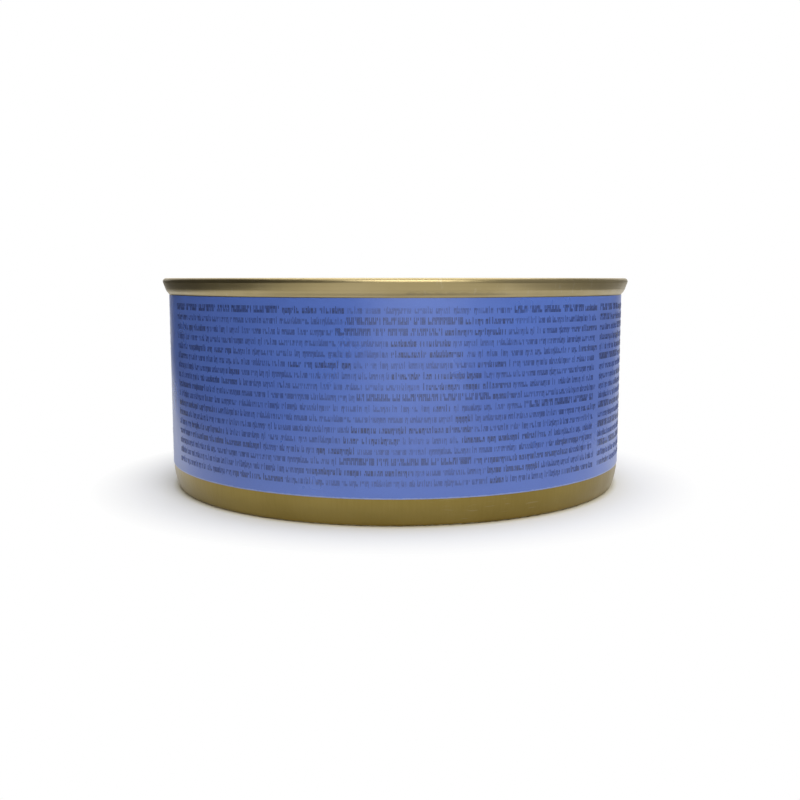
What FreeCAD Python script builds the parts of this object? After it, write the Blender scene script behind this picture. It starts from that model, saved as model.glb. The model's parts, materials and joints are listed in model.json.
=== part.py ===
"""Round, shallow cat food can: a drawn body with its food, a seamed ring-pull lid and a wrap label.

Millimetres. +Z is up, the origin is the centre of the can's footprint on the floor, and -Y is the front.
The body is shut and full, so it is one solid up to the underside of the lid.
"""

import FreeCAD, Part
import math
import os

V = FreeCAD.Vector

# ---- driving dimensions -------------------------------------------------------------------------
CAN_HEIGHT = 37.7  # floor to the top of the double seam
BODY_R = 41.65  # outside of the drawn wall
WALL_T = 0.20  # metal of the wall

# foot: the wall tucks in towards the floor, turns a small corner and stands on a flat ring
TUCK_HEIGHT = 4.5  # where the wall starts to curve in
TUCK_TURN = 20.0  # degrees that the wall has turned at the corner
FOOT_CORNER_R = 0.8
FOOT_FLAT = 1.0  # width of the ring that touches the floor
BASE_RISE = 1.5  # base panel above the floor
BASE_SLOPE = 1.7  # radial width of the step from the foot ring to the base panel
BASE_BEAD_INSET = 6.2  # edge of the base panel to the pressed ring in it
BASE_BEAD_WIDTH = 7.0
BASE_BEAD_RISE = 0.6
PRESS_R = 0.7  # bend radius of the pressed corners

# double seam: the lid's edge rolled over the top of the wall
SEAM_OVERHANG = 1.15  # widest point beyond the wall
SEAM_HEIGHT = 2.9
SEAM_CURL_R = 0.6  # outer corner of its top
SEAM_SLANT = 20.0  # degrees that its side leans in, going down
SEAM_SIDE_DEPTH = 1.88  # where the side starts to curl under, below the seam's top
SEAM_LIP_R = 0.35  # inner corner of its top

# lid: chuck wall, countersink and panel
LID_T = 0.22
CHUCK_LEAN = 6.0  # degrees
COUNTERSINK_DEPTH = 4.8  # lowest point of the groove's top surface, below the seam's top
COUNTERSINK_WIDTH = 1.9
COUNTERSINK_BEND_R = 0.8
PANEL_DEPTH = 3.6  # panel below the seam's top
PANEL_SLOPE = 0.25  # radial run of the wall between countersink and panel
SCORE_INSET = 0.9  # panel's edge to the tear line
SCORE_WIDTH = 0.26
SCORE_DEPTH = 0.09
GROOVE_INSET = 2.2  # panel's edge to the sunk ring inside the tear line
GROOVE_WIDTH = 2.6
GROOVE_DEPTH = 0.4
GROOVE_BEND_R = 0.6
RIB_INSETS = (8.6, 13.0)  # panel's edge to the middle of each raised rib, open where the pull tab lies
RIB_WIDTH = 1.7
RIB_HEIGHT = 0.45
WELL_R = 4.9  # finger well in the panel, below the end of the ring
WELL_DEPTH = 0.9

# pull tab: a stamped ring held by the lid's rivet
RIVET_PAD_GAP = 0.5  # sunk ring to the rivet's pad
RIVET_PAD_R = 4.0
RIVET_PAD_HEIGHT = 0.3
RIVET_STEM_R = 2.0
RIVET_HEAD_R = 2.9
RIVET_HEAD_T = 0.5
RIVET_HEAD_EDGE = 0.25
RIVET_CLEARANCE = 0.06  # round the stem, and under the head
TAB_T = 1.2  # over its rolled edges
TAB_WEB_T = 0.35  # single metal round the rivet
TAB_EDGE_R = 0.45
TAB_NOSE_GAP = 0.5  # nose to the tear line, seen from above
TAB_NOSE_R = 6.6
TAB_RING_R = 10.4
TAB_RING_AT = 12.2  # centre of the ring from the rivet
TAB_RIM = 2.6  # width of the ring's metal round the finger hole
TAB_HOLE_FLAT = 5.4  # the finger hole's straight side from the ring's centre, towards the rivet
TAB_POCKET_R = 3.9  # sunk round the rivet
TAB_SLOT_R = 3.35  # middle of the slot that frees the rivet's tongue
TAB_SLOT_WIDTH = 0.5
TAB_SLOT_TURN = 230.0  # degrees
TAB_CLEARANCE = 1.4  # between the tab and the ends of the ribs

# label: thin wrap that fits the straight wall, with its ends lapped at the back
LABEL_T = 0.10
LABEL_LAP = 7.0
LABEL_FIT = 0.05  # below the seam

# ---- sizes that follow --------------------------------------------------------------------------
BODY_INNER_R = BODY_R - WALL_T
SEAM_R = BODY_R + SEAM_OVERHANG
SEAM_FOOT_Z = CAN_HEIGHT - SEAM_HEIGHT
PANEL_Z = CAN_HEIGHT - PANEL_DEPTH
LID_LEAN = math.tan(math.radians(CHUCK_LEAN))
CHUCK_FOOT_R = BODY_INNER_R - LID_T / math.cos(math.radians(CHUCK_LEAN))  # inside it, at the seam's foot
LIP_R = CHUCK_FOOT_R + SEAM_HEIGHT * LID_LEAN  # inside of the seam, at its top
SINK_Z = CAN_HEIGHT - COUNTERSINK_DEPTH
COUNTERSINK_OUTER_R = CHUCK_FOOT_R - (SEAM_FOOT_Z - SINK_Z) * LID_LEAN
COUNTERSINK_INNER_R = COUNTERSINK_OUTER_R - COUNTERSINK_WIDTH
PANEL_R = COUNTERSINK_INNER_R - PANEL_SLOPE
SCORE_R = PANEL_R - SCORE_INSET
GROOVE_OUTER_R = PANEL_R - GROOVE_INSET
GROOVE_INNER_R = GROOVE_OUTER_R - GROOVE_WIDTH
RIVET_AT = GROOVE_INNER_R - RIVET_PAD_GAP - RIVET_PAD_R  # rivet from the can's axis
TAB_Z = PANEL_Z + RIVET_PAD_HEIGHT
TAB_NOSE_AT = SCORE_R - TAB_NOSE_GAP - TAB_NOSE_R - RIVET_AT
BEYOND = CAN_HEIGHT  # how far the spaces that are cut away reach past the can


# ---- geometry helpers ---------------------------------------------------------------------------
def at(radius, height):
    """A point of a section, which lies in the XZ plane."""
    return V(radius, 0, height)


def turned(angle, length=1.0):
    """A vector of the section plane, counted in degrees from +X towards +Z."""
    return V(math.cos(math.radians(angle)) * length, 0, math.sin(math.radians(angle)) * length)


def arc(centre, radius, start, end):
    """An arc in the section plane, between two angles in degrees."""
    middle = (start + end) / 2
    return Part.Arc(*(centre + turned(a, radius) for a in (start, middle, end))).toShape()


def side(start, end):
    return Part.makeLine(start, end)


def rounded(points, radii):
    """The edges of a line through the points, with an arc of the given radius at each inner point."""
    edges = []
    last = points[0]
    for before, corner, after, radius in zip(points, points[1:], points[2:], radii):
        inward = (before - corner).normalize()
        onward = (after - corner).normalize()
        half = inward.getAngle(onward) / 2
        reach = radius / math.tan(half)
        middle = (inward + onward).normalize()
        start = corner + inward * reach
        end = corner + onward * reach
        crown = corner + middle * (radius / math.sin(half) - radius)
        edges.append(side(last, start))
        edges.append(Part.Arc(start, crown, end).toShape())
        last = end
    edges.append(side(last, points[-1]))
    return edges


def offset(points, radii, distance):
    """The same line moved to its right by the distance, with its radii to suit."""
    normals = []
    for start, end in zip(points, points[1:]):
        run = (end - start).normalize()
        normals.append(V(run.z, 0, -run.x))
    moved = [points[0] + normals[0] * distance]
    new_radii = []
    for before, after, corner, radius in zip(normals, normals[1:], points[1:], radii):
        moved.append(corner + (before + after) * (distance / (1 + before.dot(after))))
        turns_right = before.cross(after).y > 0
        new_radii.append(radius - distance if turns_right else radius + distance)
    moved.append(points[-1] + normals[-1] * distance)
    return moved, new_radii


def revolved(edges, degrees=360.0):
    """A solid of revolution about +Z from the edges of a closed section."""
    face = Part.Face(Part.Wire(Part.__sortEdges__(edges)))
    return face.revolve(V(0, 0, 0), V(0, 0, 1), degrees)


def closed(points):
    """The edges of a closed section with straight sides."""
    return [side(a, b) for a, b in zip(points, points[1:] + points[:1])]


def ring(inner, outer, low, high):
    return Part.makeCylinder(outer, high - low, V(0, 0, low)).cut(
        Part.makeCylinder(inner, high - low, V(0, 0, low))
    )


# ---- lid ----------------------------------------------------------------------------------------
def lid_line():
    """The lid's top surface from the inside of the seam's top to its axis: points, and radii."""
    groove_z = PANEL_Z - GROOVE_DEPTH
    points = [
        at(LIP_R, CAN_HEIGHT),
        at(COUNTERSINK_OUTER_R, SINK_Z),
        at(COUNTERSINK_INNER_R, SINK_Z),
        at(PANEL_R, PANEL_Z),
        at(GROOVE_OUTER_R, PANEL_Z),
        at(GROOVE_OUTER_R - GROOVE_DEPTH, groove_z),
        at(GROOVE_INNER_R + GROOVE_DEPTH, groove_z),
        at(GROOVE_INNER_R, PANEL_Z),
        at(0, PANEL_Z),
    ]
    radii = [COUNTERSINK_BEND_R] * 2 + [PRESS_R] + [GROOVE_BEND_R] * 4
    return points, radii


def under_lid():
    """The space above the lid's underside, which the body and its food leave free."""
    top, top_radii = lid_line()
    points, radii = offset(top, top_radii, -LID_T)
    wall_foot = at(BODY_INNER_R, SEAM_FOOT_Z)
    sealed = [wall_foot] + points[1:]
    above = CAN_HEIGHT + BEYOND
    beyond = BODY_R + BEYOND
    border = [at(0, above), at(beyond, above), at(beyond, SEAM_FOOT_Z), wall_foot]
    edges = rounded(sealed, radii) + [side(points[-1], border[0])]
    edges += [side(a, b) for a, b in zip(border, border[1:])]
    return revolved(edges)


def over_lid():
    """The free space above the lid's top surface, inside the seam."""
    points, radii = lid_line()
    above = CAN_HEIGHT + BEYOND
    edges = rounded(points, radii)
    edges.append(side(points[-1], at(0, above)))
    edges.append(side(at(0, above), at(points[0].x, above)))
    edges.append(side(at(points[0].x, above), points[0]))
    return revolved(edges)


def seam_outline():
    """The seam's outside, from the wall up to its top and in to the lip, as edges."""
    curl = at(SEAM_R - SEAM_CURL_R, CAN_HEIGHT - SEAM_CURL_R)
    slant_top = curl + turned(-SEAM_SLANT, SEAM_CURL_R)
    slant_z = CAN_HEIGHT - SEAM_SIDE_DEPTH
    slant_foot = at(slant_top.x - (slant_top.z - slant_z) * math.tan(math.radians(SEAM_SLANT)), slant_z)
    foot = at(BODY_R, SEAM_FOOT_Z)
    chord = foot - slant_foot
    turn = math.degrees(math.atan2(-chord.x, -chord.z)) - SEAM_SLANT  # half of the curl's turn
    roll_r = chord.Length / 2 / math.sin(math.radians(turn))
    roll = slant_foot - turned(-SEAM_SLANT, roll_r)
    chuck_foot = at(CHUCK_FOOT_R, SEAM_FOOT_Z)
    lip = rounded([at(curl.x, CAN_HEIGHT), at(LIP_R, CAN_HEIGHT), chuck_foot], [SEAM_LIP_R])
    outside = [
        arc(roll, roll_r, -SEAM_SLANT - 2 * turn, -SEAM_SLANT),
        side(slant_foot, slant_top),
        arc(curl, SEAM_CURL_R, -SEAM_SLANT, 90),
    ]
    return outside + lip + [side(chuck_foot, foot)]


def rib(radius):
    """A half-round raised ring that stops on each side of the pull tab, with round ends."""
    half_width = RIB_WIDTH / 2
    dome_r = (half_width**2 + RIB_HEIGHT**2) / (2 * RIB_HEIGHT)
    centre = at(radius, PANEL_Z + RIB_HEIGHT - dome_r)
    spread = math.degrees(math.asin(half_width / dome_r))
    crown = arc(centre, dome_r, 90 - spread, 90 + spread)
    base = side(at(radius - half_width, PANEL_Z), at(radius + half_width, PANEL_Z))
    gap = math.degrees(math.asin((TAB_RING_R + TAB_CLEARANCE + half_width) / radius))
    run = revolved([crown, base], 360 - 2 * gap)
    run.rotate(V(0, 0, 0), V(0, 0, 1), -90 + gap)
    solid = run
    cap = Part.makeSphere(dome_r, V(0, 0, PANEL_Z + RIB_HEIGHT - dome_r))
    cap = cap.common(Part.makeCylinder(dome_r, RIB_HEIGHT * 2, V(0, 0, PANEL_Z)))
    for angle in (-90 - gap, -90 + gap):
        end = cap.copy()
        end.translate(V(math.cos(math.radians(angle)), math.sin(math.radians(angle)), 0) * radius)
        solid = solid.fuse(end)
    return solid


def finger_well(extra):
    """A shallow round dish below the far end of the ring; extra is the metal added outside it."""
    dish_r = (WELL_R**2 + WELL_DEPTH**2) / (2 * WELL_DEPTH)
    end_y = -RIVET_AT + TAB_RING_AT + TAB_RING_R
    return Part.makeSphere(dish_r + extra, V(0, end_y, PANEL_Z + dish_r - WELL_DEPTH))


def well_shell():
    """The outside of the finger well, below the panel's top surface."""
    return finger_well(LID_T).common(Part.makeCylinder(RIVET_AT, PANEL_Z))


def rivet():
    """The pad, stem and head that the lid's centre is drawn up into."""
    centre = V(0, -RIVET_AT, 0)
    head_z = TAB_Z + TAB_WEB_T + RIVET_CLEARANCE
    pad = Part.makeCylinder(RIVET_PAD_R, RIVET_PAD_HEIGHT, centre + V(0, 0, PANEL_Z))
    stem = Part.makeCylinder(RIVET_STEM_R, head_z - TAB_Z, centre + V(0, 0, TAB_Z))
    head = Part.makeCylinder(RIVET_HEAD_R, RIVET_HEAD_T, centre + V(0, 0, head_z))
    top_edge = [e for e in head.Edges if e.BoundBox.ZMin > head_z + RIVET_HEAD_T / 2]
    head = head.makeFillet(RIVET_HEAD_EDGE, top_edge)
    return pad.fuse(stem).fuse(head)


def lid():
    sheet = under_lid().common(Part.makeCylinder(BODY_INNER_R, CAN_HEIGHT)).cut(over_lid())
    sheet = sheet.cut(ring(CHUCK_FOOT_R, BODY_R, SEAM_FOOT_Z, CAN_HEIGHT + BEYOND))
    shape = sheet.fuse(revolved(seam_outline()))
    shape = shape.fuse(well_shell()).cut(finger_well(0))
    half_width = SCORE_WIDTH / 2
    score = revolved(
        closed(
            [
                at(SCORE_R - half_width, PANEL_Z),
                at(SCORE_R, PANEL_Z - SCORE_DEPTH),
                at(SCORE_R + half_width, PANEL_Z),
            ]
        )
    )
    shape = shape.cut(score).fuse(rivet())
    for inset in RIB_INSETS:
        shape = shape.fuse(rib(PANEL_R - inset))
    return shape.removeSplitter()


# ---- pull tab -----------------------------------------------------------------------------------
def tab_outline(inset):
    """A flat face: two circles with their outer tangents. The rivet is at the origin, the ring at +Y."""
    nose_r = TAB_NOSE_R - inset
    ring_r = TAB_RING_R - inset
    nose = V(0, -TAB_NOSE_AT, 0)
    loop = V(0, TAB_RING_AT, 0)
    lean = math.asin((ring_r - nose_r) / (TAB_RING_AT + TAB_NOSE_AT))
    out = V(math.cos(lean), -math.sin(lean), 0)
    back = V(-out.x, out.y, 0)
    edges = [
        side(nose + out * nose_r, loop + out * ring_r),
        Part.Arc(loop + out * ring_r, loop + V(0, ring_r, 0), loop + back * ring_r).toShape(),
        side(loop + back * ring_r, nose + back * nose_r),
        Part.Arc(nose + back * nose_r, nose - V(0, nose_r, 0), nose + out * nose_r).toShape(),
    ]
    return Part.Face(Part.Wire(edges))


def finger_hole():
    """A round hole with a straight side towards the rivet, and soft corners."""
    hole_r = TAB_RING_R - TAB_RIM
    hole = Part.makeCylinder(hole_r, TAB_T, V(0, TAB_RING_AT, 0))
    block = Part.makeBox(4 * hole_r, 2 * hole_r, TAB_T, V(-2 * hole_r, TAB_RING_AT - TAB_HOLE_FLAT, 0))
    hole = hole.common(block)
    upright = [e for e in hole.Edges if e.BoundBox.ZLength > TAB_T / 2 and len(e.Vertexes) == 2]
    corners = [e for e in upright if e.BoundBox.YMax < TAB_RING_AT]
    return hole.makeFillet(TAB_RIM / 2, corners)


def rivet_slot():
    """A curved slot that leaves the rivet's tongue joined on the ring's side only."""
    band = ring(
        TAB_SLOT_R - TAB_SLOT_WIDTH / 2, TAB_SLOT_R + TAB_SLOT_WIDTH / 2, 0, TAB_WEB_T
    )
    half = TAB_SLOT_TURN / 2
    keep = Part.makeCylinder(2 * TAB_SLOT_R, TAB_WEB_T, V(0, 0, 0), V(0, 0, 1), TAB_SLOT_TURN)
    keep.rotate(V(0, 0, 0), V(0, 0, 1), -90 - half)
    return band.common(keep)


def pull_tab():
    blank = tab_outline(0).extrude(V(0, 0, TAB_T)).cut(finger_hole())
    edges = [e for e in blank.Edges if e.BoundBox.ZLength < TAB_T / 2]
    shape = blank.makeFillet(TAB_EDGE_R, edges)
    shape = shape.cut(Part.makeCylinder(TAB_POCKET_R, TAB_T, V(0, 0, TAB_WEB_T)))
    shape = shape.cut(Part.makeCylinder(RIVET_STEM_R + RIVET_CLEARANCE, TAB_T))
    shape = shape.cut(rivet_slot())
    shape.translate(V(0, -RIVET_AT, TAB_Z))
    return shape


# ---- body ---------------------------------------------------------------------------------------
def can_body():
    """Foot, tucked wall and base panel turned in one, filled up to the lid."""
    turn = math.radians(TUCK_TURN)
    tuck_r = (TUCK_HEIGHT - FOOT_CORNER_R * (1 - math.sin(turn))) / math.sin(turn)
    tuck = at(BODY_R - tuck_r, TUCK_HEIGHT)
    tuck_end = tuck + turned(-TUCK_TURN, tuck_r)
    corner = tuck_end - turned(-TUCK_TURN, FOOT_CORNER_R)
    foot_inner = at(corner.x - FOOT_FLAT, 0)
    step = foot_inner.x - BASE_SLOPE
    bead_out = step - BASE_BEAD_INSET
    bead_in = bead_out - BASE_BEAD_WIDTH
    high = BASE_RISE + BASE_BEAD_RISE
    base = rounded(
        [
            at(corner.x, 0),
            foot_inner,
            at(step, BASE_RISE),
            at(bead_out, BASE_RISE),
            at(bead_out - BASE_BEAD_RISE, high),
            at(bead_in + BASE_BEAD_RISE, high),
            at(bead_in, BASE_RISE),
            at(0, BASE_RISE),
        ],
        [PRESS_R] * 6,
    )
    wall = [
        arc(corner, FOOT_CORNER_R, -90, -TUCK_TURN),
        arc(tuck, tuck_r, -TUCK_TURN, 0),
        side(at(BODY_R, TUCK_HEIGHT), at(BODY_R, CAN_HEIGHT)),
        side(at(BODY_R, CAN_HEIGHT), at(0, CAN_HEIGHT)),
        side(at(0, CAN_HEIGHT), at(0, BASE_RISE)),
    ]
    blank = revolved(base + wall)
    return blank.cut(under_lid()).cut(well_shell()).removeSplitter()


# ---- label --------------------------------------------------------------------------------------
def label():
    """A thin sleeve on the straight wall, whose outer end lies over the inner one at the back."""
    low = TUCK_HEIGHT
    high = SEAM_FOOT_Z - LABEL_FIT
    outer = BODY_R + LABEL_T
    sleeve = ring(BODY_R, outer, low, high)
    turn = math.degrees(LABEL_LAP / outer)
    start = V(0, outer, low)
    raised = V(0, outer + LABEL_T, low)
    end = FreeCAD.Rotation(V(0, 0, 1), -turn).multVec(V(0, outer, 0)) + V(0, 0, low)
    half = FreeCAD.Rotation(V(0, 0, 1), -turn / 2)
    under = half.multVec(V(0, outer, 0)) + V(0, 0, low)
    over = half.multVec(V(0, outer + LABEL_T / 2, 0)) + V(0, 0, low)
    edges = [
        side(start, raised),
        Part.Arc(raised, over, end).toShape(),
        Part.Arc(end, under, start).toShape(),
    ]
    lap = Part.Face(Part.Wire(edges)).extrude(V(0, 0, high - low))
    return sleeve.fuse(lap).removeSplitter()


# ---- the part -----------------------------------------------------------------------------------
NODES = {"can_body": can_body, "lid": lid, "pull_tab": pull_tab, "label": label}


def main():
    os.makedirs("parts", exist_ok=True)
    for name, build in NODES.items():
        shape = build()
        shape.exportStep("parts/" + name + ".step")
        print(name, len(shape.Solids), "solid", round(shape.Volume, 1), "mm3")


main()
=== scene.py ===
"""Looks of a round, shallow cat food can: gold lacquered metal, a seamed lid with a ring pull,
and a blue wrap label with rows of small print marks that are no letters.

Metres. +Z is up, the origin is the centre of the can's footprint on the floor, and -Y is the front.
"""

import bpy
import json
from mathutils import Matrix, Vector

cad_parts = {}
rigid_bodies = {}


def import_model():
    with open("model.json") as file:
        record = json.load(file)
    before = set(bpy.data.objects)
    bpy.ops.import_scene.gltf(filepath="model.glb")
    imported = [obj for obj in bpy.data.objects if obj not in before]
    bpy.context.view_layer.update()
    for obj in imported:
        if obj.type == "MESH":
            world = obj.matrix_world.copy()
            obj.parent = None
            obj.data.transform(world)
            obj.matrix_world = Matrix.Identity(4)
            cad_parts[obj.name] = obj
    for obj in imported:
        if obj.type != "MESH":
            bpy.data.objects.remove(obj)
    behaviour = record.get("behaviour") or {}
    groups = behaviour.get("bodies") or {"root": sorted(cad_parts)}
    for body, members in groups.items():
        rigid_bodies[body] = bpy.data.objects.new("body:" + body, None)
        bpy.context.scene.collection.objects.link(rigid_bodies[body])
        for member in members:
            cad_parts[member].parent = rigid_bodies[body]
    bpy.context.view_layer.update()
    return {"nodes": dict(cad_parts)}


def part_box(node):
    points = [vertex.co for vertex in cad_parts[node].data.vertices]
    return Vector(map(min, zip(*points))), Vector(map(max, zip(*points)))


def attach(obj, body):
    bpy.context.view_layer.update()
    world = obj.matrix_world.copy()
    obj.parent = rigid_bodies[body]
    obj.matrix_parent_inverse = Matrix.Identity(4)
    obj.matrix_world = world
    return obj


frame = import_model()

import json
import math
import random

import bpy
from mathutils import Vector

bl_info = {
    "name": "Cat food can",
    "version": (1, 0, 0),
    "blender": (4, 5, 0),
    "location": "3D View > Sidebar > Can",
    "description": "Finishes a food can: lacquered metal, ring-pull lid, printed wrap and studio",
    "category": "Object",
}

MM = 0.001
MICRON = 0.000001
BODY = "root"
NODES = frame["nodes"]
LABEL_LOW, LABEL_HIGH = (corner.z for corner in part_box("label"))
LABEL_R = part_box("label")[1].x
FOOT_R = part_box("can_body")[1].x
LID_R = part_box("lid")[1].x
CAN_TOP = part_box("lid")[1].z
TAB_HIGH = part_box("pull_tab")[1].z


# ---- what a user would change ------------------------------------------------------------
def colour(name, description, default):
    return bpy.props.FloatVectorProperty(
        name=name,
        description=description,
        default=default,
        subtype="COLOR",
        size=3,
        min=0.0,
        max=1.0,
    )


def length(name, description, default):
    return bpy.props.FloatProperty(
        name=name,
        description=description,
        default=default,
        subtype="DISTANCE",
        unit="LENGTH",
        min=0.0,
        precision=5,
    )


def watts(name, description, default):
    return bpy.props.FloatProperty(
        name=name, description=description, default=default, min=0.0, unit="POWER"
    )


class CanColours(bpy.types.PropertyGroup):
    """Colours of the metal, the wrap and the print."""

    body_gold: colour("Body gold", "Lacquer on the drawn body", (0.275, 0.205, 0.059))
    body_gold_deep: colour(
        "Deep body gold", "The body's lacquer where it lies thicker", (0.24, 0.174, 0.044)
    )
    lid_gold: colour("Lid gold", "Lacquer on the lid and its seam", (0.43, 0.35, 0.185))
    lid_gold_deep: colour(
        "Deep lid gold", "The lid's lacquer where it lies thicker", (0.38, 0.305, 0.148)
    )
    tab_gold: colour("Tab gold", "Pale lacquer on the pull tab", (0.62, 0.55, 0.37))
    bare_metal: colour(
        "Bare metal", "Tinplate where the lacquer has rubbed off", (0.62, 0.59, 0.52)
    )
    wrap_blue: colour("Wrap blue", "Ground colour of the label", (0.063, 0.132, 0.452))
    wrap_blue_deep: colour(
        "Deep wrap blue", "The ground colour where the ink lies thicker", (0.057, 0.120, 0.424)
    )
    cut_edge: colour("Cut edge", "The label's paper where it was cut", (0.34, 0.38, 0.50))
    fine_ink: colour(
        "Fine ink",
        "The fine print marks, whose thin strokes let some blue through",
        (0.028, 0.048, 0.165),
    )
    bold_ink: colour("Bold ink", "The bold print marks", (0.019, 0.033, 0.118))


class PrintSizes(bpy.types.PropertyGroup):
    """Sizes of the rows of print marks on the wrap."""

    rows: bpy.props.IntProperty(
        name="Rows", description="Rows of marks, one above the other", default=17, min=1
    )
    first_row: length("First row", "Label's top edge to the middle of the first row", 1.77 * MM)
    row_pitch: length("Row pitch", "From one row to the next", 1.625 * MM)
    tall: length("Tall mark", "Height of the tallest marks", 1.08 * MM)
    short: length("Short mark", "Height of the short marks", 0.80 * MM)
    drop: length("Drop", "How far some marks reach below the row", 0.22 * MM)
    fine_stroke: length("Fine stroke", "Width of a fine mark's posts", 0.075 * MM)
    bold_stroke: length("Bold stroke", "Width of a bold mark's posts", 0.125 * MM)
    fine_pitch: length("Fine pitch", "From one fine mark to the next", 0.45 * MM)
    bold_pitch: length("Bold pitch", "From one bold mark to the next", 0.48 * MM)
    caps_pitch: length("Lead pitch", "From one tall bold mark to the next", 0.60 * MM)
    ragged: length("Ragged", "The most that a row stops short of its column", 1.3 * MM)
    proud: length("Proud", "How far the ink stands above the label", 0.025 * MM)


class StudioLight(bpy.types.PropertyGroup):
    """Brightness of the lamps and of the surroundings."""

    key_watts: watts("Key lamp", "Power of the lamp in front", 2.25)
    side_watts: watts("Side lamp", "Power of the lamp on the right", 0.62)
    top_watts: watts("Top lamp", "Power of the overhead lamp", 2.2)
    surround: bpy.props.FloatProperty(
        name="Surround", description="Even light from all round", default=0.31, min=0.0
    )


# ---- node helpers ------------------------------------------------------------------------
def feed(tree, socket, value):
    """Links a socket to another one, or sets it to a value."""
    if isinstance(value, bpy.types.NodeSocket):
        tree.links.new(value, socket)
    elif hasattr(value, "__len__") and socket.type == "RGBA":
        socket.default_value = (*value[:3], 1.0)
    else:
        socket.default_value = value


def node(tree, kind, *values, **settings):
    """A new node with its settings, whose first inputs take the values in order."""
    made = tree.nodes.new(kind)
    for name, setting in settings.items():
        setattr(made, name, setting)
    for socket, value in zip(made.inputs, values):
        if value is not None:
            feed(tree, socket, value)
    return made


def sums(tree, operation, *values):
    return node(tree, "ShaderNodeMath", *values, operation=operation).outputs[0]


def ramp(tree, value, low, high, new_low=0.0, new_high=1.0, smooth=True):
    """The value's run from low to high, moved to new_low to new_high and held there."""
    kind = "SMOOTHSTEP" if smooth else "LINEAR"
    return node(
        tree, "ShaderNodeMapRange", value, low, high, new_low, new_high, interpolation_type=kind
    ).outputs[0]


def mixed(tree, amount, first, second):
    made = node(tree, "ShaderNodeMix", data_type="RGBA")
    for number, value in ((0, amount), (6, first), (7, second)):
        feed(tree, made.inputs[number], value)
    return made.outputs[2]


def stretched(tree, place, x, y, z):
    """Coordinates multiplied along each axis, which makes a pattern finer along it."""
    return node(tree, "ShaderNodeMapping", place, None, None, (x, y, z)).outputs[0]


def noise(tree, place, scale, detail=2.0, roughness=0.5):
    made = node(tree, "ShaderNodeTexNoise")
    feed(tree, made.inputs["Vector"], place)
    for name, value in (("Scale", scale), ("Detail", detail), ("Roughness", roughness)):
        made.inputs[name].default_value = value
    return made.outputs[0]


def raised(tree, height, distance, under=None):
    """A bump of the given depth in metres, on top of another one."""
    made = node(tree, "ShaderNodeBump")
    made.inputs["Distance"].default_value = distance
    feed(tree, made.inputs["Height"], height)
    if under is not None:
        feed(tree, made.inputs["Normal"], under)
    return made.outputs[0]


class Finish:
    """A new material with one shader, and the sockets that its patterns read."""

    def __init__(self, name):
        self.material = bpy.data.materials.new(name)
        self.material.use_nodes = True
        self.tree = self.material.node_tree
        self.tree.nodes.clear()
        self.shader = node(self.tree, "ShaderNodeBsdfPrincipled")
        output = node(self.tree, "ShaderNodeOutputMaterial")
        self.tree.links.new(self.shader.outputs[0], output.inputs[0])
        self.place = node(self.tree, "ShaderNodeTexCoord").outputs["Object"]
        parts = node(self.tree, "ShaderNodeSeparateXYZ", self.place)
        self.x, self.y, self.z = parts.outputs
        square = sums(self.tree, "ADD", self.squared(self.x), self.squared(self.y))
        self.radius = sums(self.tree, "SQRT", square)
        turned = node(self.tree, "ShaderNodeCombineXYZ", self.radius, 0.0, self.z)
        self.turned = turned.outputs[0]

    def squared(self, value):
        return sums(self.tree, "MULTIPLY", value, value)

    def set(self, **values):
        for name, value in values.items():
            feed(self.tree, self.shader.inputs[name.replace("_", " ")], value)
        return self.material


def scratches(finish, stretch, patch_scale, share):
    """Sparse thin lines, 1 on a line and 0 off it: a stretched noise where it is highest,
    kept only in patches.
    """
    tree = finish.tree
    lines = noise(tree, stretched(tree, finish.place, *stretch), 1.0, 1.0)
    patches = noise(tree, finish.place, patch_scale, 1.0)
    fine = ramp(tree, lines, share, share + 0.05)
    return sums(tree, "MULTIPLY", fine, ramp(tree, patches, 0.5, 0.62))


# ---- finishes ----------------------------------------------------------------------------
WALL_RUN = FOOT_R - 3.2 * MM, FOOT_R - 2.2 * MM  # radii, from the turned base to the drawn wall
FOOT_RUB = 0.32 * MM, 0.02 * MM  # heights, from whole lacquer to where the floor has rubbed it


def body_finish(colours):
    """Deep gold lacquer on drawn tinplate: upright lines on the wall, turned lines on the base."""
    finish = Finish("gold_lacquer_drawn")
    tree = finish.tree
    cloud = noise(tree, finish.place, 70.0, 3.0)
    upright = noise(tree, stretched(tree, finish.place, 2600, 2600, 60), 1.0, 2.0)
    turned = noise(tree, finish.turned, 2400.0, 2.0)
    on_wall = ramp(tree, finish.radius, *WALL_RUN)
    grain = mixed(tree, on_wall, turned, upright)
    tone = ramp(tree, cloud, 0.35, 0.65, 0.0, 0.7)
    tone = sums(tree, "ADD", tone, ramp(tree, grain, 0.3, 0.7, -0.07, 0.16))
    gold = mixed(tree, tone, colours.body_gold, colours.body_gold_deep)
    chips = noise(tree, finish.place, 900.0, 3.0, 0.6)
    near_floor = ramp(tree, finish.z, *FOOT_RUB)
    rub = sums(tree, "MULTIPLY", near_floor, ramp(tree, chips, 0.42, 0.6))
    lines = sums(tree, "MULTIPLY", scratches(finish, (300, 300, 4200), 60.0, 0.66), on_wall)
    worn = sums(tree, "MAXIMUM", rub, sums(tree, "MULTIPLY", lines, 0.1))
    tint = mixed(tree, worn, gold, colours.bare_metal)
    dull = ramp(tree, cloud, 0.3, 0.7, 0.29, 0.37)
    dull = sums(tree, "ADD", dull, ramp(tree, grain, 0.3, 0.7, -0.02, 0.02))
    relief = raised(tree, grain, 1.2 * MICRON)
    relief = raised(tree, noise(tree, finish.place, 240.0, 2.0), 9 * MICRON, relief)
    return finish.set(Base_Color=tint, Metallic=1.0, Roughness=dull, Normal=relief)


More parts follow.
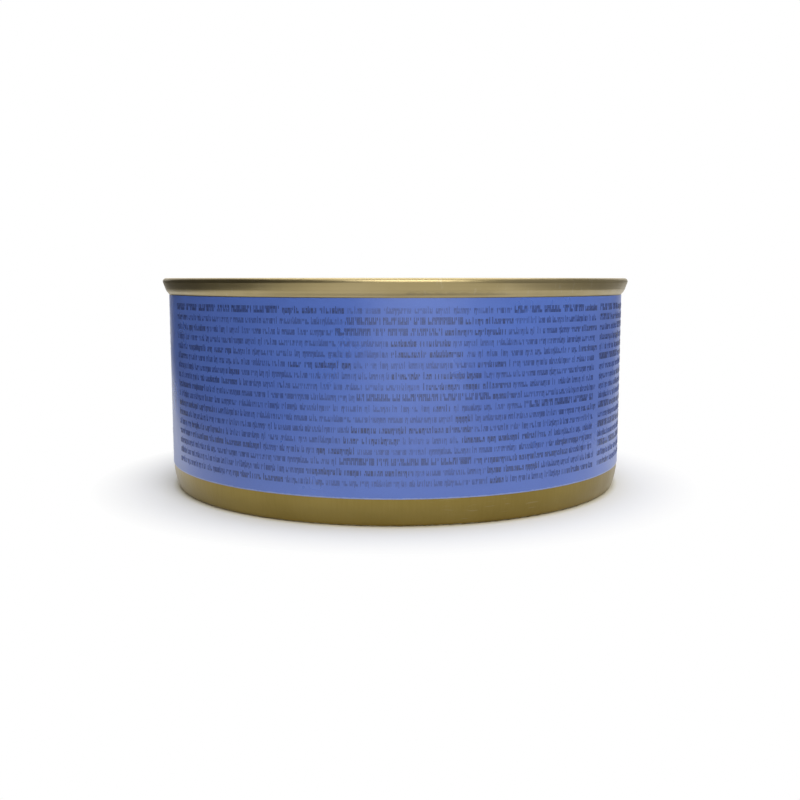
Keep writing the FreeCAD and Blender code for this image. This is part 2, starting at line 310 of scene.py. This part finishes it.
SEAM_RUN = LID_R - 1.38 * MM, LID_R - 1.20 * MM  # radii, from the chuck wall to the seam
TOP_RUB = CAN_TOP - 0.16 * MM, CAN_TOP - 0.02 * MM  # heights, from whole lacquer to rubbed
LIP_FROM = CAN_TOP - 1.3 * MM  # below this a bump shades the seam's side as turning inwards
LIP_BEND = 55.0  # how much, per metre
LIP_CORNER = CAN_TOP - 2.5 * MM  # below this the bump turns back, so its corner looks tighter
LIP_HOLD = 900.0  # how much, per metre


def lid_finish(colours):
    """Paler gold lacquer: straight lines on the panel, turned lines and puckers on the seam."""
    finish = Finish("gold_lacquer_seamed")
    tree = finish.tree
    on_seam = ramp(tree, finish.radius, *SEAM_RUN)
    cloud = noise(tree, finish.place, 85.0, 3.0)
    rolled = noise(tree, stretched(tree, finish.place, 90, 3600, 900), 1.0, 3.0)
    turned = noise(tree, finish.turned, 3200.0, 2.0)
    grain = mixed(tree, on_seam, rolled, turned)
    tone = ramp(tree, cloud, 0.35, 0.65, 0.0, 0.7)
    tone = sums(tree, "ADD", tone, ramp(tree, grain, 0.3, 0.7, -0.15, 0.3))
    gold = mixed(tree, tone, colours.lid_gold, colours.lid_gold_deep)
    chips = noise(tree, finish.place, 1100.0, 3.0, 0.6)
    on_top = ramp(tree, finish.z, *TOP_RUB)
    rub = sums(tree, "MULTIPLY", on_top, ramp(tree, chips, 0.54, 0.7, 0.0, 0.35))
    lines = scratches(finish, (2600, 300, 600), 55.0, 0.66)
    worn = sums(tree, "MAXIMUM", rub, sums(tree, "MULTIPLY", lines, 0.1))
    tint = mixed(tree, worn, gold, colours.bare_metal)
    smears = noise(tree, finish.place, 130.0, 4.0, 0.6)
    dull = ramp(tree, smears, 0.3, 0.7, 0.33, 0.41)
    dull = sums(tree, "ADD", dull, ramp(tree, grain, 0.3, 0.7, -0.03, 0.03))
    ripples = noise(tree, stretched(tree, finish.place, 700, 700, 190), 1.0, 2.0)
    puckers = sums(tree, "SUBTRACT", ripples, 0.5)
    below = sums(tree, "MAXIMUM", sums(tree, "SUBTRACT", LIP_FROM, finish.z), 0.0)
    corner = sums(tree, "MAXIMUM", sums(tree, "SUBTRACT", LIP_CORNER, finish.z), 0.0)
    bend = sums(tree, "MULTIPLY", finish.squared(below), -LIP_BEND)
    hold = sums(tree, "MULTIPLY", finish.squared(corner), LIP_HOLD)
    relief = raised(tree, sums(tree, "MULTIPLY", on_seam, sums(tree, "ADD", bend, hold)), 1.0)
    relief = raised(tree, sums(tree, "MULTIPLY", puckers, on_seam), 20 * MICRON, relief)
    relief = raised(tree, grain, 2.4 * MICRON, relief)
    return finish.set(Base_Color=tint, Metallic=1.0, Roughness=dull, Normal=relief)


RIM_RUB = TAB_HIGH - 0.12 * MM, TAB_HIGH - 0.01 * MM  # heights, from whole lacquer to rubbed


def tab_finish(colours):
    """Pale gold sheet, rolled lengthways, with its curled rim rubbed bright on top."""
    finish = Finish("pale_gold_stamped")
    tree = finish.tree
    cloud = noise(tree, finish.place, 160.0, 3.0)
    rolled = noise(tree, stretched(tree, finish.place, 4200, 110, 1500), 1.0, 3.0)
    tone = ramp(tree, sums(tree, "ADD", cloud, rolled), 0.8, 1.2, 0.0, 0.35)
    gold = mixed(tree, tone, colours.tab_gold, colours.lid_gold)
    chips = noise(tree, finish.place, 1300.0, 3.0, 0.6)
    on_rim = ramp(tree, finish.z, *RIM_RUB)
    rub = sums(tree, "MULTIPLY", on_rim, ramp(tree, chips, 0.45, 0.65, 0.0, 0.7))
    tint = mixed(tree, rub, gold, colours.bare_metal)
    dull = ramp(tree, cloud, 0.3, 0.7, 0.24, 0.34)
    dull = sums(tree, "ADD", dull, ramp(tree, rolled, 0.3, 0.7, -0.03, 0.03))
    relief = raised(tree, rolled, 2.6 * MICRON)
    relief = raised(tree, noise(tree, finish.place, 420.0, 2.0), 8 * MICRON, relief)
    return finish.set(Base_Color=tint, Metallic=1.0, Roughness=dull, Normal=relief)


FILM_IOR = 1.75  # of the label's clear film
FOOT_CUT = LABEL_LOW + 0.24 * MM, LABEL_LOW + 0.10 * MM  # heights, from blue to the cut edge
LAP_CUT = 0.16 * MM, 0.10 * MM  # to either side of the lap's end, from blue to the cut edge
LAP_BACK = LABEL_R, LABEL_R + 0.02 * MM  # how far back, from the label to the lap over it


def wrap_finish(colours):
    """Blue printed wrap with a satin film: faint ink clouds, a paper grain, and pale cut edges."""
    finish = Finish("blue_satin_wrap")
    tree = finish.tree
    cloud = noise(tree, stretched(tree, finish.place, 60, 60, 110), 1.0, 3.0)
    specks = noise(tree, finish.place, 5200.0, 2.0, 0.6)
    tone = ramp(tree, cloud, 0.35, 0.65)
    tone = sums(tree, "ADD", tone, ramp(tree, specks, 0.3, 0.7, -0.4, 0.4))
    blue = mixed(tree, tone, colours.wrap_blue, colours.wrap_blue_deep)
    ragged = ramp(tree, noise(tree, finish.place, 1500.0, 2.0), 0.3, 0.7, -0.05 * MM, 0.05 * MM)
    height = sums(tree, "ADD", finish.z, ragged)
    low_edge = ramp(tree, height, *FOOT_CUT)
    sideways = sums(tree, "ABSOLUTE", sums(tree, "ADD", finish.x, ragged))
    beside = ramp(tree, sideways, *LAP_CUT)
    lap_edge = sums(tree, "MULTIPLY", beside, ramp(tree, finish.y, *LAP_BACK))
    cut = sums(tree, "MAXIMUM", low_edge, lap_edge)
    tint = mixed(tree, sums(tree, "MULTIPLY", cut, 0.4), blue, colours.cut_edge)
    smears = noise(tree, finish.place, 95.0, 3.0, 0.6)
    dull = ramp(tree, smears, 0.3, 0.7, 0.27, 0.36)
    relief = raised(tree, noise(tree, finish.place, 130.0, 2.0), 14 * MICRON)
    relief = raised(tree, noise(tree, finish.place, 2600.0, 2.0), 1.6 * MICRON, relief)
    return finish.set(Base_Color=tint, Roughness=dull, IOR=FILM_IOR, Normal=relief)


def ink_finish(name, ink, colours):
    """Dark print, a little uneven, under the same satin film."""
    finish = Finish(name)
    tree = finish.tree
    cover = noise(tree, finish.place, 3800.0, 2.0, 0.6)
    tint = mixed(tree, ramp(tree, cover, 0.35, 0.7, 0.0, 0.35), ink, colours.wrap_blue_deep)
    dull = ramp(tree, noise(tree, finish.place, 95.0, 3.0, 0.6), 0.3, 0.7, 0.29, 0.38)
    return finish.set(Base_Color=tint, Roughness=dull, IOR=FILM_IOR)


# ---- pieces ------------------------------------------------------------------------------
def select_only(*pieces):
    bpy.ops.object.select_all(action="DESELECT")
    for piece in pieces:
        piece.select_set(True)
    bpy.context.view_layer.objects.active = pieces[0]


def dress(name, material):
    """Gives a part from the frame its finish."""
    part = NODES[name]
    part.material_slots[0].material = material


MARK_GAP = 0.105 * MM  # between a mark and the next
LOW_POST, HIGH_POST = 0.42, 0.58  # of a mark's height: a low post's end, a high one's start
MARKS = (  # how far a mark's left, middle and right posts reach
    ("full", "low", "full"),
    ("full", "high", "full"),
    ("full", "low", "low"),
    ("low", "high", "full"),
    ("high", None, "full"),
    ("full", None, "high"),
    ("tall", "low", "full"),
    ("full", "high", "deep"),
    (None, "tall", None),
    (None, "full", None),
    ("full", "full", "full"),
)
MARK_PITCH = {"fine": "fine_pitch", "bold": "bold_pitch", "caps": "caps_pitch"}


def marks_of(sizes, weight):
    """The plain marks of a weight, each a list of separate posts: left, right, low and high."""
    stroke = sizes.fine_stroke if weight == "fine" else sizes.bold_stroke
    short = sizes.tall if weight == "caps" else sizes.short
    wide = getattr(sizes, MARK_PITCH[weight]) - MARK_GAP
    lefts = (0.0, (wide - stroke) / 2, wide - stroke)
    heights = {
        "full": (0.0, short),
        "low": (0.0, LOW_POST * short),
        "high": (HIGH_POST * short, short),
        "tall": (0.0, sizes.tall),
        "deep": (0.0 if weight == "caps" else -sizes.drop, short),
    }
    return [
        [(left, left + stroke, *heights[reach]) for left, reach in zip(lefts, reaches) if reach]
        for reaches in MARKS
        if reaches[0] or weight != "caps"
    ]


def flat_mark(name, posts, depth):
    """One mark in the XZ plane, each post raised from a flat rectangle to the ink's depth."""
    bpy.ops.object.select_all(action="DESELECT")
    for number, (left, right, low, high) in enumerate(posts):
        place = ((left + right) / 2, 0.0, (low + high) / 2)
        size = (right - left, high - low, 1.0)
        bpy.ops.mesh.primitive_plane_add(size=1.0, location=(0, 0, 0))
        if number == 0:
            bpy.ops.object.mode_set(mode="EDIT")
        bpy.ops.transform.resize(value=size, center_override=(0, 0, 0))
        bpy.ops.transform.rotate(value=-math.pi / 2, orient_axis="X", center_override=(0, 0, 0))
        bpy.ops.transform.translate(value=place)
        bpy.ops.mesh.extrude_region_move(TRANSFORM_OT_translate={"value": (0.0, -depth, 0.0)})
        bpy.ops.mesh.select_all(action="DESELECT")
    bpy.ops.mesh.select_all(action="SELECT")
    bpy.ops.mesh.normals_make_consistent(inside=False)
    bpy.ops.object.mode_set(mode="OBJECT")
    mark = bpy.context.object
    mark.name = name
    return mark


def copied(pattern, x, z):
    """A copy of a piece with its own mesh, moved along its row."""
    made = bpy.data.objects.new(pattern.name, pattern.data.copy())
    made.location = (x, 0.0, z)
    bpy.context.scene.collection.objects.link(made)
    return made


def joined(name, pieces):
    """The pieces as one, with its place in its mesh."""
    select_only(*pieces)
    if len(pieces) > 1:
        bpy.ops.object.join()
    bpy.ops.object.transform_apply(location=True, rotation=True, scale=True)
    made = bpy.context.object
    made.name = name
    return made


def discard(pieces):
    meshes = [piece.data for piece in pieces]
    bpy.data.batch_remove(pieces)
    bpy.data.batch_remove(meshes)


WORD_LENGTHS = range(1, 13)  # in marks
WORD_KINDS = 8  # different words of each weight and length
WORD_SPACE = 0.62  # of a fine mark's pitch
LEAD_SHARE = 0.36  # how often a stretch of words starts with a tall bold lead


def word_patterns(sizes, rng):
    """Words of marks for each weight and length, built once and copied later."""
    patterns = {}
    for weight, pitch_name in MARK_PITCH.items():
        pitch = getattr(sizes, pitch_name)
        depth = 2 * sizes.proud  # half of it sinks into the label
        marks = [flat_mark(f"{weight}_mark", posts, depth) for posts in marks_of(sizes, weight)]
        for count in WORD_LENGTHS:
            for kind in range(WORD_KINDS):
                letters = [copied(rng.choice(marks), n * pitch, 0.0) for n in range(count)]
                patterns[weight, count, kind] = joined(f"{weight}_word", letters)
        discard(marks)
    return patterns


def phrases(rng):
    """An endless run of words as weight and length: a bold lead, then a longer fine stretch."""
    while True:
        if rng.random() < LEAD_SHARE:
            for _ in range(rng.randint(3, 6)):
                yield "caps", rng.choice((2, 3, 4, 5, 6, 7, 8, 9))
        for _ in range(rng.choice((1, 2, 2, 3, 4))):
            yield "bold", rng.choice((3, 5, 6, 8, 9, 10, 11, 12))
        for _ in range(rng.randint(5, 16)):
            yield "fine", rng.choice((1, 2, 2, 3, 3, 4, 5, 5, 6, 7, 8, 9, 11))


def word_width(sizes, word):
    weight, count = word
    return count * getattr(sizes, MARK_PITCH[weight])


def set_rows(sizes, width, rng):
    """Words set in rows of the given width: for each row, the words and the space between them."""
    space = sizes.fine_pitch * WORD_SPACE
    words = phrases(rng)
    kept = next(words)
    rows = []
    for _ in range(sizes.rows):
        row, used = [], 0.0
        while used + word_width(sizes, kept) <= width:
            row.append(kept)
            used += word_width(sizes, kept) + space
            kept = next(words)
        spare = max(0.0, width - used + space - rng.uniform(0.0, sizes.ragged))
        rows.append((row, space + spare / (len(row) - 1)))
    return rows


def wrap_round(piece, radius):
    """Bends a flat strip round the can: x becomes the way round, and its front faces out."""
    tree = bpy.data.node_groups.new("wrap_round", "GeometryNodeTree")
    for way in ("INPUT", "OUTPUT"):
        tree.interface.new_socket("Geometry", in_out=way, socket_type="NodeSocketGeometry")
    start = tree.nodes.new("NodeGroupInput")
    end = tree.nodes.new("NodeGroupOutput")
    place = node(tree, "ShaderNodeSeparateXYZ", node(tree, "GeometryNodeInputPosition").outputs[0])
    x, y, z = place.outputs
    turn = sums(tree, "DIVIDE", x, radius)
    out = sums(tree, "SUBTRACT", radius, y)
    across = sums(tree, "MULTIPLY", out, sums(tree, "SINE", turn))
    inward = sums(tree, "MULTIPLY", out, sums(tree, "COSINE", turn))
    bent = node(tree, "ShaderNodeCombineXYZ", across, sums(tree, "MULTIPLY", inward, -1.0), z)
    moved = node(tree, "GeometryNodeSetPosition", start.outputs[0], None, bent.outputs[0])
    tree.links.new(moved.outputs[0], end.inputs[0])
    modifier = piece.modifiers.new("wrap_round", "NODES")
    modifier.node_group = tree
    select_only(piece)
    bpy.ops.object.modifier_apply(modifier=modifier.name)
    bpy.data.node_groups.remove(tree)


PRINT_SEED = 4127
PRINT_COLUMNS = {  # degrees round the can from the front towards +X
    "front": (-62.6, 52.7),
    "right": (54.1, 169.4),
    "left": (-178.9, -78.0),
}


def print_pieces(sizes, inks):
    """The rows of marks in three columns, each with a piece of fine ones and one of bold ones."""
    rng = random.Random(PRINT_SEED)
    patterns = word_patterns(sizes, rng)
    for column, (start, end) in PRINT_COLUMNS.items():
        first, last = (math.radians(angle) * LABEL_R for angle in (start, end))
        placed = {"fine": [], "bold": []}
        for number, (row, space) in enumerate(set_rows(sizes, last - first, rng)):
            x = first
            z = LABEL_HIGH - sizes.first_row - number * sizes.row_pitch - sizes.tall / 2
            for word in row:
                pattern = patterns[(*word, rng.randrange(WORD_KINDS))]
                weight = "fine" if word[0] == "fine" else "bold"
                placed[weight].append(copied(pattern, x, z))
                x += word_width(sizes, word) + space
        for weight, words in placed.items():
            piece = joined(f"print_{weight}_{column}", words)
            wrap_round(piece, LABEL_R - sizes.proud)
            piece.data.materials.clear()
            piece.data.materials.append(inks[weight])
            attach(piece, BODY)
    discard(list(patterns.values()))


# ---- stage -------------------------------------------------------------------------------
def pointed(kind, azimuth, elevation, distance, aim):
    """Adds a lamp or camera that looks at a point. The azimuth is from the front towards +X."""
    turn, rise = math.radians(azimuth), math.radians(elevation)
    level = math.cos(rise)
    away = Vector((math.sin(turn) * level, -math.cos(turn) * level, math.sin(rise)))
    kind(location=aim + away * distance, rotation=(-away).to_track_quat("-Z", "Y").to_euler())
    return bpy.context.object


# azimuth and elevation in degrees, then distance, width and height
KEY_LAMP = (14, 34, 0.60, 0.55, 0.34)
SIDE_LAMP = (100, 30, 0.70, 0.50, 0.50)
TOP_LAMP = (180, 72, 0.70, 0.70, 0.60)


def add_area(**place):
    bpy.ops.object.light_add(type="AREA", **place)


def soft_lamp(name, azimuth, elevation, distance, width, height, watts):
    lamp = pointed(add_area, azimuth, elevation, distance, Vector((0.0, 0.0, CAN_TOP / 2)))
    lamp.name = name
    lamp.data.shape = "RECTANGLE"
    lamp.data.size, lamp.data.size_y = width, height
    lamp.data.energy = watts
    lamp.visible_camera = False
    return lamp


def rays(tree, *names):
    """1 for the named kinds of ray and 0 for the others."""
    path = node(tree, "ShaderNodeLightPath")
    amount = 0.0
    for name in names:
        amount = sums(tree, "MAXIMUM", path.outputs[name], amount)
    return amount


SEEN_RAYS = ("Is Camera Ray", "Is Glossy Ray", "Is Transmission Ray")


def white_world(surround):
    """White to the camera and in reflections, and an even grey light on everything."""
    world = bpy.data.worlds.new("white_surround")
    bpy.context.scene.world = world
    world.use_nodes = True
    tree = world.node_tree
    tree.nodes.clear()
    strength = ramp(tree, rays(tree, *SEEN_RAYS), 0.0, 1.0, surround, 1.0, smooth=False)
    light = node(tree, "ShaderNodeBackground", (1.0, 1.0, 1.0), strength)
    tree.links.new(light.outputs[0], node(tree, "ShaderNodeOutputWorld").inputs[0])


FLOOR_SIDE = 3.0
FLOOR_WHITE = 0.97  # its white to the other rays, which carry its light onto the can
FLOOR_SEEN = 0.95  # its white to the camera and in reflections, so that it clears to white
CLEAR_FROM, CLEAR_TO = 0.0418, 0.0565  # from the can's axis, where the floor turns plain white
PAINTED_SHADOW_FROM, PAINTED_SHADOW_TO = 0.0402, 0.0422  # from the can's axis, where a painted shadow and a painted warm bounce from the can's gold darken and warm the floor
# painted shade: the floor's own colour next to the can, darker and warmer as a stand-in for its
# contact shadow and the gold's bounced light
PAINTED_SHADOW_BOUNCE_TINT = (0.76, 0.69, 0.50)
OPEN_FROM, OPEN_TO = 0.038, 0.0375  # within this the floor is open: the base is lit from below


def floor_finish():
    material = bpy.data.materials.new("studio_floor")
    material.use_nodes = True
    tree = material.node_tree
    tree.nodes.clear()
    white = ramp(tree, rays(tree, *SEEN_RAYS), 0.0, 1.0, FLOOR_WHITE, FLOOR_SEEN, smooth=False)
    place = node(tree, "ShaderNodeTexCoord").outputs["Object"]
    cloud = noise(tree, place, 9.0)
    white = sums(tree, "MULTIPLY", white, ramp(tree, cloud, 0.3, 0.7, 0.99, 1.01))
    away = node(tree, "ShaderNodeVectorMath", place, operation="LENGTH").outputs["Value"]
    # painted shadow and painted bounce light: near the can the floor's colour is multiplied down
    # and warmed
    painted_shadow_bounce = mixed(tree, ramp(tree, away, PAINTED_SHADOW_FROM, PAINTED_SHADOW_TO), PAINTED_SHADOW_BOUNCE_TINT, (1.0, 1.0, 1.0))
    tone = node(tree, "ShaderNodeVectorMath", painted_shadow_bounce, operation="SCALE")
    feed(tree, tone.inputs["Scale"], white)
    matt = node(tree, "ShaderNodeBsdfDiffuse", tone.outputs[0])
    plain = node(tree, "ShaderNodeEmission", (1.0, 1.0, 1.0), 1.0)
    cleared = ramp(tree, away, CLEAR_FROM, CLEAR_TO, smooth=False)
    clear = sums(tree, "MULTIPLY", cleared, rays(tree, *SEEN_RAYS))
    top = node(tree, "ShaderNodeMixShader", clear, matt.outputs[0], plain.outputs[0])
    nothing = node(tree, "ShaderNodeBsdfTransparent")
    below = node(tree, "ShaderNodeNewGeometry").outputs["Backfacing"]
    hidden = ramp(tree, away, OPEN_FROM, OPEN_TO, smooth=False)
    open_part = sums(tree, "MAXIMUM", below, hidden)
    both = node(tree, "ShaderNodeMixShader", open_part, top.outputs[0], nothing.outputs[0])
    tree.links.new(both.outputs[0], node(tree, "ShaderNodeOutputMaterial").inputs[0])
    return material


PAINTED_CARD_FOOT = 0.014  # up to which a card's glow is raised, a painted light standing in for the floor's light on it
PAINTED_CARD_FOOT_GLOW = 0.34  # the strength of its painted glow at the very foot


def glowing_card_finish(name, grey):
    material = bpy.data.materials.new(name)
    material.use_nodes = True
    tree = material.node_tree
    tree.nodes.clear()
    place = node(tree, "ShaderNodeTexCoord").outputs["Object"]
    height = node(tree, "ShaderNodeSeparateXYZ", place).outputs[2]
    # painted light: the card glows at a fixed strength instead of being lit, and glows more at its
    # foot as a painted stand-in for the floor's light
    strength = ramp(tree, height, 0.0, PAINTED_CARD_FOOT, PAINTED_CARD_FOOT_GLOW, grey)
    light = node(tree, "ShaderNodeEmission", (1.0, 1.0, 1.0), strength)
    tree.links.new(light.outputs[0], node(tree, "ShaderNodeOutputMaterial").inputs[0])
    return material


SIDE_CARDS = {  # strength of the painted glow that each card shows in reflections, height, and the corners that a folded card stands on, back to front
    "studio_left_back_card": (0.06, 0.050, ((-0.280, 0.45), (-0.165, 0.220), (-0.103, 0.076))),
    "studio_left_side_card": (0.07, 0.085, ((-0.103, 0.076), (-0.0935, 0.027))),
    "studio_left_card": (
        0.07,
        0.13,
        ((-0.0935, 0.027), (-0.084, 0.003), (-0.081, -0.02), (-0.066, -0.05), (-0.066, -0.35)),
    ),
    "studio_right_back_card": (0.27, 0.10, ((0.300, 0.45), (0.190, 0.200), (0.117, 0.074))),
    "studio_right_card": (
        0.27,
        0.16,
        ((0.117, 0.074), (0.0965, 0.019), (0.092, -0.01), (0.074, -0.045), (0.074, -0.14)),
    ),
}


def studio_floor():
    bpy.ops.object.select_all(action="DESELECT")
    bpy.ops.mesh.primitive_plane_add(size=FLOOR_SIDE)
    floor = bpy.context.object
    floor.name = "studio_floor"
    floor.data.materials.append(floor_finish())


def side_cards():
    """Glowing folded cards that stand at both sides, which only reflections see: their fixed glow
    paints the grey of a darker studio into the reflections.
    """
    for name, (grey, height, corners) in SIDE_CARDS.items():
        bpy.ops.object.select_all(action="DESELECT")
        bpy.ops.mesh.primitive_plane_add(size=1.0)
        card = bpy.context.object
        card.name = name
        bpy.ops.object.mode_set(mode="EDIT")
        bpy.ops.mesh.merge(type="CENTER")
        bpy.ops.transform.translate(value=(*corners[0], 0.0))
        for start, end in zip(corners, corners[1:]):
            step = (end[0] - start[0], end[1] - start[1], 0.0)
            bpy.ops.mesh.extrude_vertices_move(TRANSFORM_OT_translate={"value": step})
        bpy.ops.mesh.select_all(action="SELECT")
        bpy.ops.mesh.extrude_edges_move(TRANSFORM_OT_translate={"value": (0.0, 0.0, height)})
        bpy.ops.object.mode_set(mode="OBJECT")
        card.data.materials.append(glowing_card_finish(name, grey))
        card.visible_camera = card.visible_diffuse = card.visible_shadow = False
        card.visible_transmission = card.visible_volume_scatter = False


CAMERA_AT = (0.0, -0.18619, 0.03746)
CAMERA_DIP = 7.031  # degrees below level
CAMERA_TURN = 0.264  # degrees to its right
CAMERA_LENS, CAMERA_SENSOR = 43.965, 36.0  # millimetres


def front_camera():
    turned = (math.radians(90 - CAMERA_DIP), 0.0, math.radians(-CAMERA_TURN))
    bpy.ops.object.camera_add(location=CAMERA_AT, rotation=turned)
    camera = bpy.context.object
    camera.name = "front_camera"
    camera.data.sensor_width = CAMERA_SENSOR
    camera.data.lens = CAMERA_LENS
    camera.data.clip_start = 0.005
    bpy.context.scene.camera = camera


# ---- operators ---------------------------------------------------------------------------
class CAN_OT_body(bpy.types.Operator):
    """Gives the drawn body its deep gold lacquer"""

    bl_idname = "food_can.body"
    bl_label = "Finish the body"

    def execute(self, context):
        dress("can_body", body_finish(context.scene.can_colours))
        return {"FINISHED"}


class CAN_OT_lid(bpy.types.Operator):
    """Gives the lid and its seam their paler gold lacquer"""

    bl_idname = "food_can.lid"
    bl_label = "Finish the lid"

    def execute(self, context):
        dress("lid", lid_finish(context.scene.can_colours))
        return {"FINISHED"}


class CAN_OT_tab(bpy.types.Operator):
    """Gives the pull tab its pale gold sheet"""

    bl_idname = "food_can.tab"
    bl_label = "Finish the pull tab"

    def execute(self, context):
        dress("pull_tab", tab_finish(context.scene.can_colours))
        return {"FINISHED"}


class CAN_OT_wrap(bpy.types.Operator):
    """Gives the label its blue ground, satin film and cut edges"""

    bl_idname = "food_can.wrap"
    bl_label = "Finish the wrap"

    def execute(self, context):
        dress("label", wrap_finish(context.scene.can_colours))
        return {"FINISHED"}


class CAN_OT_print(bpy.types.Operator):
    """Sets the rows of small print marks round the wrap"""

    bl_idname = "food_can.print"
    bl_label = "Set the print marks"

    def execute(self, context):
        colours = context.scene.can_colours
        inks = {
            "fine": ink_finish("satin_fine_ink", colours.fine_ink, colours),
            "bold": ink_finish("satin_bold_ink", colours.bold_ink, colours),
        }
        print_pieces(context.scene.can_print, inks)
        return {"FINISHED"}


class CAN_OT_stage(bpy.types.Operator):
    """Builds the pale floor, the glowing cards of painted reflection, the lamps, the surroundings
    and the camera
    """

    bl_idname = "food_can.stage"
    bl_label = "Build the stage"

    def execute(self, context):
        light = context.scene.can_light
        context.scene.view_settings.view_transform = "Standard"
        white_world(light.surround)
        studio_floor()
        side_cards()
        soft_lamp("key_lamp", *KEY_LAMP, light.key_watts)
        soft_lamp("side_lamp", *SIDE_LAMP, light.side_watts)
        soft_lamp("top_lamp", *TOP_LAMP, light.top_watts)
        front_camera()
        return {"FINISHED"}


class CAN_PT_panel(bpy.types.Panel):
    """Lists the can's colours, print sizes, lamps and steps"""

    bl_idname = "CAN_PT_panel"
    bl_label = "Cat food can"
    bl_space_type = "VIEW_3D"
    bl_region_type = "UI"
    bl_category = "Can"

    def draw(self, context):
        for scene_name in GROUPS:
            group = getattr(context.scene, scene_name)
            box = self.layout.box()
            for name in group.__annotations__:
                box.prop(group, name)
        for operator in OPERATORS:
            self.layout.operator(operator.bl_idname)


GROUPS = {"can_colours": CanColours, "can_print": PrintSizes, "can_light": StudioLight}
OPERATORS = (CAN_OT_stage, CAN_OT_body, CAN_OT_lid, CAN_OT_tab, CAN_OT_wrap, CAN_OT_print)


def register():
    for made in (*GROUPS.values(), *OPERATORS, CAN_PT_panel):
        bpy.utils.register_class(made)
    for name, group in GROUPS.items():
        setattr(bpy.types.Scene, name, bpy.props.PointerProperty(type=group))


def unregister():
    for name in GROUPS:
        delattr(bpy.types.Scene, name)
    for made in (CAN_PT_panel, *OPERATORS, *GROUPS.values()):
        bpy.utils.unregister_class(made)


def main():
    register()
    bpy.ops.food_can.stage()
    bpy.ops.food_can.body()
    bpy.ops.food_can.lid()
    bpy.ops.food_can.tab()
    bpy.ops.food_can.wrap()
    bpy.ops.food_can.print()


if __name__ == "__main__":
    main()
